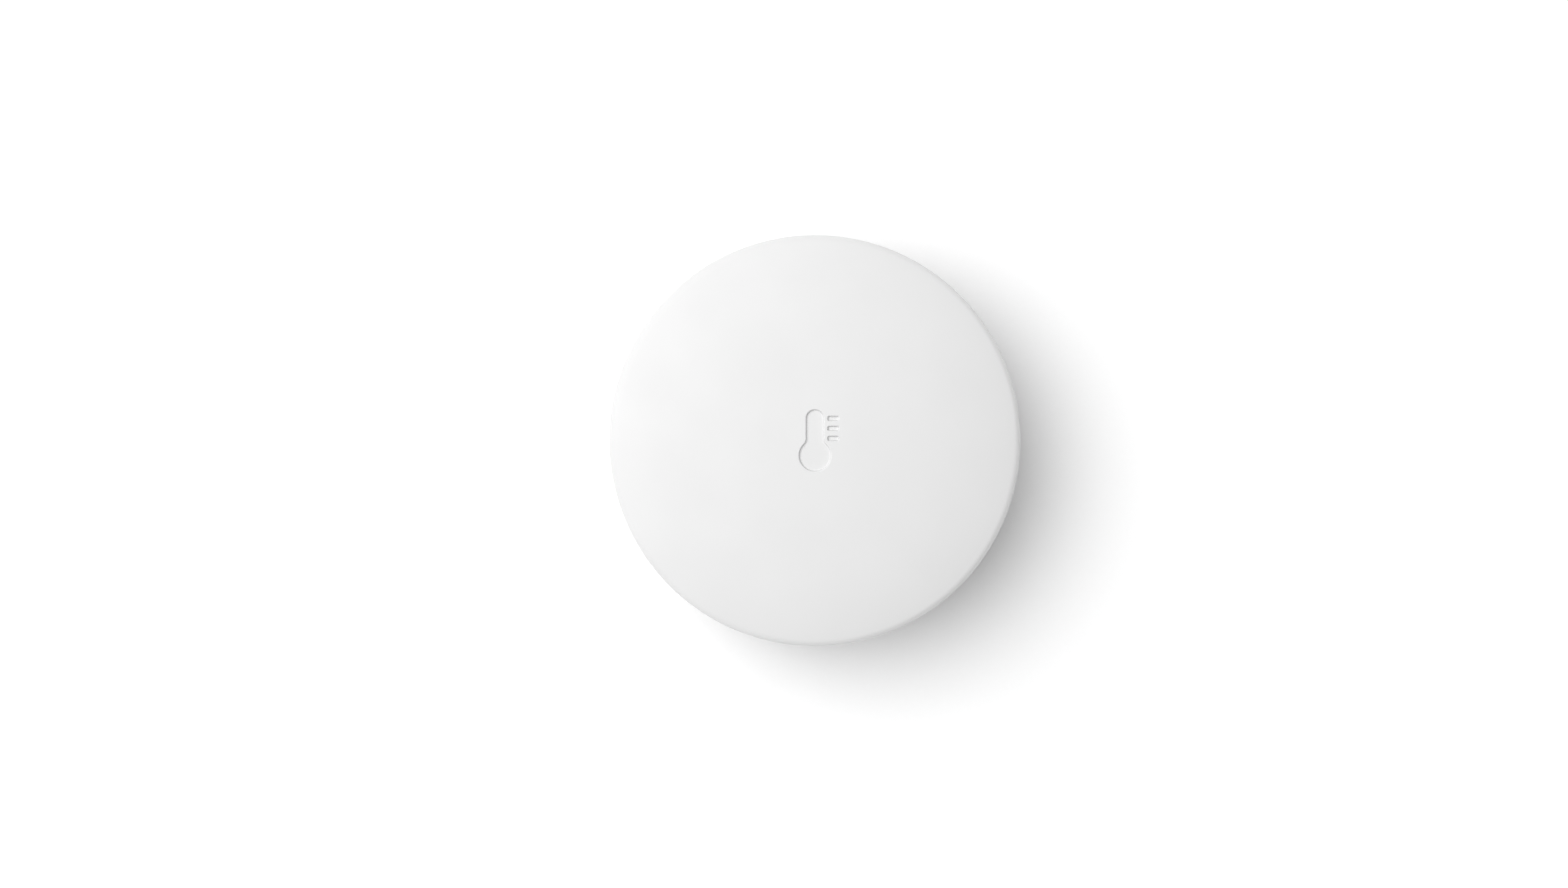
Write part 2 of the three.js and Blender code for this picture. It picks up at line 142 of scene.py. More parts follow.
def slotOutline(x, y, radius, travel=0, steps=6):
    # round ends this far apart along Y, or a plain disc
    return roundedOutline(x, y + travel / 2, 2 * radius, travel + 2 * radius, radius - 1e-4, steps)


def standingBlock(name, low, high, corner, steps=4):
    centre, size = (low + high) / 2, high - low
    outline = roundedOutline(centre.x, centre.y, size.x, size.y, corner, steps)
    return finished(standing(bmesh.new(), outline, low.z, high.z), name)


def plainMesh(piece):
    # swaps the piece's modifiers for the mesh that they make
    graph = bpy.context.evaluated_depsgraph_get()
    made = bpy.data.meshes.new_from_object(piece.evaluated_get(graph))
    piece.modifiers.clear()
    piece.data = made
    return piece


def cleaned(piece, within=0.002):
    # joins points that a cut or a bevel leaves closer together than this many mm
    work = bmesh.new()
    work.from_mesh(piece.data)
    bmesh.ops.remove_doubles(work, verts=work.verts, dist=within * mm)
    bmesh.ops.dissolve_degenerate(work, dist=within * mm, edges=work.edges)
    work.to_mesh(piece.data)
    work.free()
    return piece


def carved(piece, cuts):
    # cuts are (operation, tool) pairs, used one after another and then thrown away
    for operation, tool in cuts:
        step = piece.modifiers.new("cut", "BOOLEAN")
        step.object, step.operation, step.solver = tool, operation, "EXACT"
    plainMesh(piece)
    for _, tool in cuts:
        bpy.data.objects.remove(tool)
    return cleaned(piece)


def softened(piece, width):
    # breaks the piece's sharp edges, as a mould or a stamping tool leaves them
    step = piece.modifiers.new("edges", "BEVEL")
    step.width, step.segments, step.limit_method = width * mm, 2, "ANGLE"
    step.angle_limit = math.radians(40)
    cleaned(plainMesh(piece))
    smoothed(piece.data)
    return piece


def place(piece, material, body, slot, *nodes):
    piece.data.materials.clear()
    piece.data.materials.append(material)
    if nodes:
        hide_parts(*nodes)
    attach(piece, body)
    return piece


def boxOf(node):
    return [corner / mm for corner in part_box(node)]


def pieceName(node):
    first, *rest = node.split("_")
    return first + "".join(word.capitalize() for word in rest) + "Body"


# the view from straight above and the light

cameraSet = {"lens": 85, "across": 188.5, "aim": (-3.73, -0.42)}  # mm seen across, and where it looks
lights = {
    "key": {"spread": 62, "rise": 60, "bearing": 154, "strength": 2.8},
    # its brightness, and the degrees above the horizon between which that changes
    "sky": {"above": 0.38, "horizon": 1, "from": 5, "to": 20},
}

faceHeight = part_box("front_shell")[1].z
camera = bpy.data.cameras.new("camera")
camera.lens = cameraSet["lens"]
camera.clip_start = 0.01
cameraObject = bpy.data.objects.new("camera", camera)
bpy.context.scene.collection.objects.link(cameraObject)
distance = cameraSet["across"] * mm * camera.lens / camera.sensor_width
cameraObject.location = (cameraSet["aim"][0] * mm, cameraSet["aim"][1] * mm, faceHeight + distance)
bpy.context.scene.camera = cameraObject

keySet = lights["key"]
key = bpy.data.lights.new("key", "SUN")
key.angle = math.radians(keySet["spread"])
key.energy = keySet["strength"]
keyObject = bpy.data.objects.new("key", key)
bpy.context.scene.collection.objects.link(keyObject)
rise, bearing = math.radians(keySet["rise"]), math.radians(keySet["bearing"])
towards = Vector((math.cos(bearing) * math.cos(rise), math.sin(bearing) * math.cos(rise), math.sin(rise)))
keyObject.location = towards
keyObject.rotation_euler = towards.to_track_quat("Z", "Y").to_euler()

# the sky is pale at the horizon, where the floor runs out, and dimmer above
skySet = lights["sky"]
world = bpy.data.worlds.new("sky")
bpy.context.scene.world = world
world.use_nodes = True
sky = world.node_tree
direction = addNode(sky, "ShaderNodeTexCoord").outputs["Generated"]
height = addNode(sky, "ShaderNodeSeparateXYZ", {}, {"Vector": direction}).outputs["Z"]
bandLow, bandHigh = [math.sin(math.radians(skySet[end])) for end in ("from", "to")]
fade = {"interpolation_type": "SMOOTHSTEP", "From Min": bandLow, "From Max": bandHigh,
        "To Min": skySet["horizon"], "To Max": skySet["above"]}
glow = addNode(sky, "ShaderNodeMapRange", fade, {"Value": height})
sky.nodes["Background"].inputs["Color"].default_value = (1, 1, 1, 1)
sky.links.new(glow.outputs["Result"], sky.nodes["Background"].inputs["Strength"])
bpy.context.scene.view_settings.view_transform = "Standard"
print("camera and light ready")


# materials

def newMaterial(name):
    material = bpy.data.materials.new(name)
    material.use_nodes = True
    tree = material.node_tree
    tree.nodes.clear()
    shader = addNode(tree, "ShaderNodeBsdfPrincipled")
    addNode(tree, "ShaderNodeOutputMaterial", {}, {"Surface": shader.outputs["BSDF"]})
    coords = addNode(tree, "ShaderNodeTexCoord").outputs["Object"]
    return material, tree, shader, coords


def noise(tree, coords, size, detail=2, distortion=0):
    # blotches about this many mm across
    settings = {"Scale": 1 / (size * mm), "Detail": detail, "Distortion": distortion}
    return addNode(tree, "ShaderNodeTexNoise", settings, {"Vector": coords}).outputs["Fac"]


def streaks(tree, coords, sizes, detail):
    # blotches drawn out to these sizes in mm along X, Y and Z
    scales = [1 / (size * mm) for size in sizes]
    drawn = addNode(tree, "ShaderNodeMapping", {"Scale": scales}, {"Vector": coords}).outputs["Vector"]
    settings = {"Scale": 1, "Detail": detail}
    return addNode(tree, "ShaderNodeTexNoise", settings, {"Vector": drawn}).outputs["Fac"]


def grains(tree, coords, size):
    # cells about this many mm across, dark in the middle
    settings = {"Scale": 1 / (size * mm)}
    return addNode(tree, "ShaderNodeTexVoronoi", settings, {"Vector": coords}).outputs["Distance"]


def dress(tree, shader, look, tintBy, reliefBy):
    # colours and roughness follow one pattern, and the relief in mm follows another
    first, second = [linear(colour) for colour in look["colours"]]
    tint = addNode(tree, "ShaderNodeMix", {"data_type": "RGBA", 6: first, 7: second}, {0: tintBy})
    smooth, rough = look["roughness"]
    gloss = addNode(tree, "ShaderNodeMapRange", {"To Min": smooth, "To Max": rough}, {"Value": tintBy})
    relief = {"Strength": look.get("strength", 0.3), "Distance": look["relief"] * mm}
    bump = addNode(tree, "ShaderNodeBump", relief, {"Height": reliefBy})
    tree.links.new(tint.outputs[2], shader.inputs["Base Color"])
    tree.links.new(gloss.outputs["Result"], shader.inputs["Roughness"])
    tree.links.new(bump.outputs["Normal"], shader.inputs["Normal"])


# ABS moulded in a spark-eroded tool: an even white satin with a grain of about 0.09 mm
def sparkTexturedAbs():
    look = {"colours": ("#dbdbdb", "#d6d6d6"), "roughness": (0.42, 0.5), "relief": 0.006,
            "cloud": 9, "grain": 0.09}
    material, tree, shader, coords = newMaterial("spark-textured white ABS")
    dress(tree, shader, look, noise(tree, coords, look["cloud"], 3), noise(tree, coords, look["grain"]))
    shader.inputs["IOR"].default_value = 1.53
    return material


# Matt white laminate: a hair of tooth, so that the floor is not one flat tone
def mattLaminate():
    look = {"colours": ("#f7f7f7", "#f5f5f5"), "roughness": (0.7, 0.8), "relief": 0.01, "strength": 0.1,
            "tooth": 0.6}
    material, tree, shader, coords = newMaterial("matt white laminate")
    tooth = noise(tree, coords, look["tooth"], 4)
    dress(tree, shader, look, tooth, tooth)
    return material


# Glass-filled ABS: a duller grey, with short fibres along Y that break up the sheen
def glassFilledAbs():
    look = {"colours": ("#d3d4d5", "#c8c9cb"), "roughness": (0.5, 0.66), "relief": 0.01,
            "fibre": (0.3, 2.4, 0.3)}
    material, tree, shader, coords = newMaterial("glass-filled grey ABS")
    fibre = streaks(tree, coords, look["fibre"], 4)
    dress(tree, shader, look, fibre, fibre)
    shader.inputs["IOR"].default_value = 1.54
    return material


# Nitrile rubber: soft and dull, with a bloom of paler dust
def nitrileRubber():
    look = {"colours": ("#3b3d40", "#55585b"), "roughness": (0.68, 0.9), "relief": 0.02,
            "bloom": 1.6, "skin": 0.12}
    material, tree, shader, coords = newMaterial("nitrile rubber")
    dress(tree, shader, look, noise(tree, coords, look["bloom"], 5), noise(tree, coords, look["skin"]))
    return material


# Polyurethane foam: open cells about 0.25 mm across, with painted shade darkening their mouths
def polyurethaneFoam():
    look = {"colours": ("#141415", "#38393b"), "roughness": (0.85, 0.98), "relief": 0.1, "strength": 0.8,
            "cell": 0.25}
    material, tree, shader, coords = newMaterial("polyurethane foam")
    poreShadeAndRelief = grains(tree, coords, look["cell"])
    # the darker middle of each cell is painted shade in the pore's hollow; the same pattern also gives the
    # pores their bump relief
    dress(tree, shader, look, poreShadeAndRelief, poreShadeAndRelief)
    return material


# Coated label paper: a faint fibre under a half-gloss coat
def coatedPaper():
    look = {"colours": ("#ecebe8", "#dfdedb"), "roughness": (0.36, 0.5), "relief": 0.008, "strength": 0.2,
            "fibre": 0.35}
    material, tree, shader, coords = newMaterial("coated label paper")
    fibre = noise(tree, coords, look["fibre"], 6, 1.5)
    dress(tree, shader, look, fibre, fibre)
    return material


# Solder mask over copper: lighter green where a track or a pour lies under it, tracks 0.9 mm apart
def solderMask():
    look = {"colours": ("#12402a", "#2a6d47"), "roughness": (0.28, 0.42), "relief": 0.03, "track": 0.9,
            "tracksInUnit": 4}
    material, tree, shader, coords = newMaterial("solder mask over copper")
    # the pattern's unit of length holds four rows of tracks
    unit = look["tracksInUnit"]
    layout = {"Scale": 1 / (look["track"] * mm) / unit, "Row Height": 1 / unit, "Brick Width": 1.7,
              "Mortar Size": 0.02, "Mortar": (1, 1, 1, 1), "Color1": (0, 0, 0, 1),
              "Color2": (0.25, 0.25, 0.25, 1)}
    tracks = addNode(tree, "ShaderNodeTexBrick", layout, {"Vector": coords}).outputs["Color"]
    dress(tree, shader, look, tracks, tracks)
    shader.inputs["Coat Weight"].default_value = 0.3
    return material


# Moulded epoxy: charcoal with a fine sandy tooth, as a chip's case has
def mouldedEpoxy():
    look = {"colours": ("#1b1c1e", "#2a2b2d"), "roughness": (0.45, 0.62), "relief": 0.01, "sand": 0.06}
    material, tree, shader, coords = newMaterial("moulded epoxy")
    sand = noise(tree, coords, look["sand"], 3)
    dress(tree, shader, look, sand, sand)
    return material


# Fired ceramic: dense tan grains, slightly glossy
def firedCeramic():
    look = {"colours": ("#a98a62", "#c4a880"), "roughness": (0.3, 0.46), "relief": 0.005, "grain": 0.11}
    material, tree, shader, coords = newMaterial("fired ceramic")
    dense = grains(tree, coords, look["grain"])
    dress(tree, shader, look, dense, dense)
    shader.inputs["IOR"].default_value = 1.7
    return material


# Tinned sheet: rolled lines 0.15 mm apart under a soft bright coat
def tinnedSheet():
    look = {"colours": ("#c9cacb", "#b4b6b9"), "roughness": (0.24, 0.4), "relief": 0.002,
            "line": (25, 0.15, 25)}
    material, tree, shader, coords = newMaterial("tinned steel sheet")
    lines = streaks(tree, coords, look["line"], 3)
    dress(tree, shader, look, lines, lines)
    shader.inputs["Metallic"].default_value = 1
    return material


# Zinc plate with a clear passivation: bluish grey, cloudy where the plating pooled
def zincPlate():
    look = {"colours": ("#b7bbc0", "#9ea3a9"), "roughness": (0.25, 0.42), "relief": 0.004, "cloud": 0.8}
    material, tree, shader, coords = newMaterial("zinc-plated steel")
    cloud = noise(tree, coords, look["cloud"], 4)
    dress(tree, shader, look, cloud, cloud)
    shader.inputs["Metallic"].default_value = 1
    return material


# Nickel plate on spring steel: warm and bright, with faint marks about 0.2 mm across from drawing
def nickelPlate():
    look = {"colours": ("#d2ccbd", "#c0b9a9"), "roughness": (0.16, 0.3), "relief": 0.002, "mark": 0.2}
    material, tree, shader, coords = newMaterial("nickel-plated spring steel")
    marks = noise(tree, coords, look["mark"], 2, 0.4)
    dress(tree, shader, look, marks, marks)
    shader.inputs["Metallic"].default_value = 1
    return material


# A deep-drawn can: streaks along the draw, which is the cell's length
def drawnSteel():
    look = {"colours": ("#c4c4c2", "#aeafb0"), "roughness": (0.2, 0.36), "relief": 0.003,
            "streak": (16.7, 0.25, 0.25)}
    material, tree, shader, coords = newMaterial("deep-drawn can")
    drawn = streaks(tree, coords, look["streak"], 3)
    dress(tree, shader, look, drawn, drawn)
    shader.inputs["Metallic"].default_value = 1
    return material


# PET shrink film: glossy blue with a plain pale band at the positive end, slightly rippled by the heat
def shrinkFilm(bandFrom, bandTo):
    look = {"colours": ("#27548f", "#2d5f9e"), "band": "#d9dbde", "roughness": (0.18, 0.3), "relief": 0.05,
            "ripple": 2.2}
    material, tree, shader, coords = newMaterial("PET shrink film")
    ripple = noise(tree, coords, look["ripple"])
    dress(tree, shader, look, ripple, ripple)
    length = addNode(tree, "ShaderNodeSeparateXYZ", {}, {"Vector": coords}).outputs["X"]
    after = addNode(tree, "ShaderNodeMath", {"operation": "GREATER_THAN", 1: bandFrom * mm}, {0: length})
    before = addNode(tree, "ShaderNodeMath", {"operation": "LESS_THAN", 1: bandTo * mm}, {0: length})
    within = addNode(tree, "ShaderNodeMath", {"operation": "MULTIPLY"},
                     {0: after.outputs[0], 1: before.outputs[0]})
    blue = shader.inputs["Base Color"].links[0].from_socket
    printed = addNode(tree, "ShaderNodeMix", {"data_type": "RGBA", 7: linear(look["band"])},
                      {0: within.outputs[0], 6: blue})
    tree.links.new(printed.outputs[2], shader.inputs["Base Color"])
    return material


casing = sparkTexturedAbs()
frameGrey = glassFilledAbs()
sealBlack = nitrileRubber()
foam = polyurethaneFoam()
paper = coatedPaper()
mask = solderMask()
epoxy = mouldedEpoxy()
ceramic = firedCeramic()
tin = tinnedSheet()
zinc = zincPlate()
nickel = nickelPlate()
can = drawnSteel()
print("materials ready")


# the floor that the sensor lies on

floorWork = bmesh.new()
bmesh.ops.create_grid(floorWork, x_segments=8, y_segments=8, size=2)
floor = finished(floorWork, "floor")
floor.data.materials.append(mattLaminate())


# the domed housing, with a thermometer sign pressed into its face

past = 1  # how far a cutting tool goes beyond what it cuts, in mm
housing = {"wall": 1.2, "edgeRadius": 1, "edgeSlope": 15, "draft": 0.5, "lip": 0.15, "inner": 0.4,
           "into": 0.4, "tray": 1, "seat": 0.05, "steps": 384}
boss = {"radius": 2.2, "bore": 1, "room": 0.3, "steps": 48}
guideKey = {"width": 2, "depth": 1.5, "height": 6, "corner": 0.2, "aboveGroove": 0.7, "groovePlay": 0.1,
            "slip": 0.3}
sign = {"height": 7.4, "bulb": 3.8, "stem": 2.1, "depth": 0.3, "wall": 0.18, "pitch": 0.05, "soft": 0.35,
        "margin": 0.5, "tickLength": 1.3, "tickWidth": 0.5, "tickCorner": 0.15, "tickPitch": 1.2, "ticks": 3}

shellLow, shellHigh = boxOf("front_shell")
screwNodes = [f"screw_{i}" for i in range(1, 5)]
bossFoot = boxOf("main_board")[1].z + 2 * housing["seat"] + housing["tray"]
keywayBottom = boxOf("seal_ring")[1].z + guideKey["groovePlay"] + guideKey["aboveGroove"]
sideRadius = (shellHigh.x - shellLow.x) / 2
innerRadius = sideRadius - housing["wall"]
fall = math.radians(housing["edgeSlope"])
# the side's draft is measured over its height up to the top of the cell
sideHeight = boxOf("battery_sleeve")[1].z - shellLow.z
topRadius = sideRadius - sideHeight * math.tan(math.radians(housing["draft"]))
faceRadius = topRadius - housing["edgeRadius"] * (1 - math.sin(fall))
crownRise = faceRadius * math.tan(fall) / 3


def domeHeight(r):
    # nearly flat in the middle, and falling at the edge slope where the edge's round begins
    t = r / faceRadius
    return shellHigh.z - crownRise * (0.75 * t ** 2 + 0.25 * t ** 6)


def signEdge(x, y):
    # signed distance in mm to the edge of the sign, negative inside it
    bulbRadius, stemRadius = sign["bulb"] / 2, sign["stem"] / 2
    low, high = bulbRadius - sign["height"] / 2, sign["height"] / 2 - stemRadius
    toBulb = math.hypot(x, y - low) - bulbRadius
    toStem = math.hypot(x, y - min(max(y, low), high)) - stemRadius
    # the bulb runs into the stem with a small round
    blend = max(sign["soft"] - abs(toBulb - toStem), 0) / sign["soft"]
    nearest = min(toBulb, toStem) - blend ** 2 * sign["soft"] / 4
    corner = sign["tickCorner"]
    tickX = stemRadius + sign["tickWidth"] + sign["tickLength"] / 2
    for i in range(sign["ticks"]):
        dx = max(abs(x - tickX) - sign["tickLength"] / 2 + corner, 0)
        dy = max(abs(y - high + i * sign["tickPitch"]) - sign["tickWidth"] / 2 + corner, 0)
        nearest = min(nearest, math.hypot(dx, dy) - corner)
    return nearest


def pressSign(work, reach):
    for vertex in work.verts:
        x, y = vertex.co.x / mm, vertex.co.y / mm
        if math.hypot(x, y) < reach and vertex.co.z / mm > shellHigh.z - housing["wall"] / 2:
            inside = 1 - smoothStep(-sign["wall"] / 2, sign["wall"] / 2, signEdge(x, y))
            vertex.co.z -= sign["depth"] * inside * mm


def shellOutline(reach):
    # close rings over the sign, then out over the dome, down the side, and back up the inside
    edge, wall, lip, inner = housing["edgeRadius"], housing["wall"], housing["lip"], housing["inner"]
    roundHeight = domeHeight(faceRadius) - edge * math.cos(fall)
    innerTop = topRadius - wall
    outline = [(i * sign["pitch"], domeHeight(i * sign["pitch"])) for i in range(int(reach / sign["pitch"]))]
    outline += [(r, domeHeight(r)) for r in (reach + (faceRadius - reach) * i / 24 for i in range(24))]
    outline += arc(topRadius - edge, roundHeight, edge, 90 - housing["edgeSlope"], 0, 10)
    outline += arc(sideRadius - lip, shellLow.z + lip, lip, 0, -90, 3)
    outline += arc(innerRadius + lip, shellLow.z + lip, lip, -90, -180, 3)
    outline += arc(innerTop - inner, domeHeight(innerTop) - wall - inner, inner, 0, 80, 4)
    return outline + [(innerTop * i / 10, domeHeight(innerTop * i / 10) - wall) for i in range(9, -1, -1)]


def addBoss(work, node):
    # a boss from the roof down to the tray, bored from below for this screw
    low, high = boxOf(node)
    x, y = (low.x + high.x) / 2, (low.y + high.y) / 2
    top = domeHeight(math.hypot(x, y)) - housing["wall"] + housing["into"]
    bore = min(high.z, top) + boss["room"]
    outline = [(0, top), (boss["radius"], top), (boss["radius"], bossFoot), (boss["bore"], bossFoot),
               (boss["bore"], bore), (0, bore)]
    turned(work, outline, boss["steps"], lambda px, py, pz: upright(x + px, y + py, pz))


def addGuideKey(work):
    y = innerRadius + (housing["into"] - guideKey["depth"]) / 2
    outline = roundedOutline(0, y, guideKey["width"], guideKey["depth"] + housing["into"], guideKey["corner"])
    bottom = keywayBottom + guideKey["slip"]
    standing(work, outline, bottom, bottom + guideKey["height"])


def makeHousing():
    reach = sign["height"] / 2 + sign["margin"]
    work = turned(bmesh.new(), shellOutline(reach), housing["steps"])
    pressSign(work, reach)
    inside = bmesh.new()
    for node in screwNodes:
        addBoss(inside, node)
    addGuideKey(inside)
    piece = carved(finished(work, "housing"), [("UNION", finished(inside, "bossesAndKey"))])
    smoothed(piece.data)
    return piece


place(makeHousing(), casing, "housing", "casing", "front_shell")
print("housing made")


# the back cover: a turned plate with its spigot, cut for the keyhole, the label, the key and a fingernail

cover = {"plate": 1.5, "rim": 2.6, "edgeRadius": 1.6, "edges": 0.12, "spigotGap": 0.3, "spigotHeight": 3.8,
         "spigotWall": 1.4, "grooveUp": 0.6, "grooveWidth": 1.1, "grooveDepth": 0.7, "steps": 192}
keyhole = {"entry": 8.4, "slot": 4.6, "travel": 6, "depth": 3.5, "wall": 1, "roof": 1, "gap": 0.3}
labelBed = {"play": 0.15, "room": 0.05, "corner": 1}
notch = {"width": 9, "depth": 0.8, "height": 0.9, "above": 0.5, "corner": 0.3}
keyway = {"play": 0.3, "corner": 0.1}

spigotRadius = innerRadius - cover["spigotGap"]
spigotTop = cover["rim"] + cover["spigotHeight"]


def coverOutline():
    edge, corner = boxOf("back_cover")[1].x, cover["edgeRadius"]
    groove, bed = cover["rim"] + cover["grooveUp"], spigotRadius - cover["grooveDepth"]
    grooveTop, inside = groove + cover["grooveWidth"], spigotRadius - cover["spigotWall"]
    outline = [(0, 0)] + arc(edge - corner, corner, corner, -90, 0, 10)
    outline += [(edge, cover["rim"]), (spigotRadius, cover["rim"]), (spigotRadius, groove), (bed, groove)]
    outline += [(bed, grooveTop), (spigotRadius, grooveTop), (spigotRadius, spigotTop)]
    return outline + [(inside, spigotTop), (inside, cover["plate"]), (0, cover["plate"])]


def makeCover():
    entryY = frame["record"]["mounts"][1]["pos_m"][1] / mm - keyhole["travel"]
    pocket = keyhole["entry"] / 2 + keyhole["gap"]
    plate, pocketTop = cover["plate"], cover["plate"] + keyhole["depth"]

    def tool(name, outline, z0, z1):
        return finished(standing(bmesh.new(), outline, z0, z1), name)

    def track(radius, travel=keyhole["travel"]):
        return slotOutline(0, entryY, radius, travel, 16)

    labelLow, labelHigh = boxOf("rating_label")
    bedWidth, bedHeight = [size + 2 * labelBed["play"] for size in (labelHigh - labelLow).xy]
    bed = roundedOutline(0, (labelLow.y + labelHigh.y) / 2, bedWidth, bedHeight, labelBed["corner"])
    nailY = notch["depth"] / 2 - boxOf("back_cover")[1].x - past
    nail = roundedOutline(0, nailY, notch["width"], notch["depth"] + 2 * past, notch["corner"])
    wayY, wayWidth = spigotRadius - cover["spigotWall"] / 2, guideKey["width"] + 2 * keyway["play"]
    way = roundedOutline(0, wayY, wayWidth, cover["spigotWall"] + 2 * past, keyway["corner"])
    hoodLow, hoodTop = plate - housing["into"], pocketTop + keyhole["roof"]
    piece = finished(turned(bmesh.new(), coverOutline(), cover["steps"]), "backCover")
    carved(piece, [
        ("UNION", tool("hood", track(pocket + keyhole["wall"]), hoodLow, hoodTop)),
        ("DIFFERENCE", tool("pocket", track(pocket), plate, pocketTop)),
        ("DIFFERENCE", tool("entry", track(keyhole["entry"] / 2, 0), -past, plate + past)),
        ("DIFFERENCE", tool("slot", track(keyhole["slot"] / 2), -past, plate + past)),
        ("DIFFERENCE", tool("labelBed", bed, -past, labelHigh.z + labelBed["room"])),
        ("DIFFERENCE", tool("nail", nail, cover["rim"] - notch["height"], cover["rim"] + notch["above"])),
        ("DIFFERENCE", tool("keyway", way, keywayBottom, spigotTop + past)),
    ])
    return softened(piece, cover["edges"])


place(makeCover(), casing, "base", "casing", "back_cover")
print("back cover made")


# pieces whose CAD shape is right keep it, and get their edges broken on a merged copy

refinedPieces = {
    "chassis": (frameGrey, "housing", "frame", 0.1),
    "main_board": (mask, "housing", "board", 0.05),
    "positive_contact": (nickel, "housing", "nickel", 0.04),
    "negative_contact": (nickel, "housing", "nickel", 0.04),
    "rating_label": (paper, "base", "label", 0.02),
}


def refined(node, edge):
    work = bmesh.new()
    work.from_mesh(frame["nodes"][node].data)
    bmesh.ops.remove_doubles(work, verts=work.verts, dist=1e-6)
    bmesh.ops.dissolve_limit(work, angle_limit=math.radians(1), verts=work.verts, edges=work.edges)
    return softened(finished(work, pieceName(node)), edge)


for node, (material, body, slot, edge) in refinedPieces.items():
    place(refined(node, edge), material, body, slot, node)
print("frame, board, contacts and label made")


# the seal ring and the foam pad

pad = {"corner": 0.4, "edge": 0.1}


def makeSeal():
    low, high = boxOf("seal_ring")
    radius = (high.z - low.z) / 2
    section = arc(high.x - radius, (low.z + high.z) / 2, radius, -180, 180, 24)
    return finished(turned(bmesh.new(), section[:-1] + section[:1], cover["steps"]), "sealRing")


def makePad():
    return softened(standingBlock("cellPad", *boxOf("battery_pad"), pad["corner"], 8), pad["edge"])


place(makeSeal(), sealBlack, "base", "seal", "seal_ring")
cellPad = place(makePad(), foam, "base", "foam", "battery_pad")


# the cell, turned about X with its positive end at -X

cell = {"film": 0.15, "shoulder": 0.6, "lip": 1.2, "gap": 0.05, "crown": 3, "crownRound": 0.45,
        "flange": 0.35, "fillet": 0.3, "hole": 3.6, "bandFrom": 2, "bandTo": 7, "steps": 128}
canLow, canHigh = boxOf("battery_can")
capLow, capHigh = boxOf("battery_cap")
washerLow, washerHigh = boxOf("battery_washer")
sleeveLow, sleeveHigh = boxOf("battery_sleeve")


def alongCell(x, y, z):
    # z runs along the cell from its negative end, and x runs up
    return upright(canHigh.x - z, (canLow.y + canHigh.y) / 2 + y, (canLow.z + canHigh.z) / 2 + x)


def makeCellPiece(name, outline):
    return finished(turned(bmesh.new(), outline, cell["steps"], alongCell), name)


def makeCan():
    radius, length, shoulder = (canHigh.z - canLow.z) / 2, canHigh.x - canLow.x, cell["shoulder"]
    recess = (washerHigh.z - washerLow.z) / 2 + cell["gap"]
    bottom = canHigh.x - capHigh.x - cell["gap"]
    outline = [(0, 0)] + arc(radius - shoulder, shoulder, shoulder, -90, 0, 6)
    outline += arc(radius - shoulder, length - shoulder, shoulder, 0, 90, 6)
    return makeCellPiece("cellCan", outline + [(recess, length), (recess, bottom), (0, bottom)])


def makeCap():
    base, top, rim = canHigh.x - capHigh.x, canHigh.x - capLow.x, (capHigh.z - capLow.z) / 2
    crown, crownRound, fillet = cell["crown"], cell["crownRound"], cell["fillet"]
    face = base + cell["flange"]
    outline = [(0, base), (rim, base), (rim, face)]
    outline += arc(crown + fillet, face + fillet, fillet, -90, -180, 4)
    outline += arc(crown - crownRound, top - crownRound, crownRound, 0, 90, 6)
    return makeCellPiece("cellCap", outline + [(0, top)])


def makeWasher():
    inner, outer = cell["hole"], (washerHigh.z - washerLow.z) / 2
    base, top = canHigh.x - washerHigh.x, canHigh.x - washerLow.x
    outline = [(inner, base), (outer, base), (outer, top), (inner, top), (inner, base)]
    return makeCellPiece("cellWasher", outline)


def makeSleeve():
    outer, film, shoulder = (sleeveHigh.z - sleeveLow.z) / 2, cell["film"], cell["shoulder"]
    low, high = canHigh.x - sleeveHigh.x, canHigh.x - sleeveLow.x
    lip = outer - cell["lip"]
    outline = [(lip, low)] + arc(outer - shoulder, low + shoulder, shoulder, -90, 0, 6)
    outline += arc(outer - shoulder, high - shoulder, shoulder, 0, 90, 6)
    outline += [(lip, high), (lip, high - film)]
    outline += arc(outer - shoulder, high - shoulder, shoulder - film, 90, 0, 6)
    outline += arc(outer - shoulder, low + shoulder, shoulder - film, 0, -90, 6)
    return makeCellPiece("cellSleeve", outline + [(lip, low + film), (lip, low)])


sleeveBlue = shrinkFilm(sleeveLow.x + cell["bandFrom"], sleeveLow.x + cell["bandTo"])
place(makeCan(), can, "battery", "cell_can", "battery_can")
place(makeCap(), nickel, "battery", "nickel", "battery_cap")
place(makeWasher(), foam, "battery", "foam", "battery_washer")
place(makeSleeve(), sleeveBlue, "battery", "sleeve", "battery_sleeve")
print("cell made")


# Geometry Nodes for the spring and for what repeats

def startTree(name, sizes):
    tree = bpy.data.node_groups.new(name, "GeometryNodeTree")
    tree.interface.new_socket(name="Geometry", in_out="INPUT", socket_type="NodeSocketGeometry")
    tree.interface.new_socket(name="Geometry", in_out="OUTPUT", socket_type="NodeSocketGeometry")
    for size, kind in sizes.items():
        tree.interface.new_socket(name=size, in_out="INPUT", socket_type=f"NodeSocket{kind}")
    return tree, addNode(tree, "NodeGroupInput").outputs


def endTree(tree, geometry, material):
    whole = addNode(tree, "GeometryNodeRealizeInstances", {}, {"Geometry": geometry})
    coat = addNode(tree, "GeometryNodeSetMaterial", {"Material": material}, {"Geometry": whole.outputs[0]})
    addNode(tree, "NodeGroupOutput", {}, {"Geometry": coat.outputs[0]})


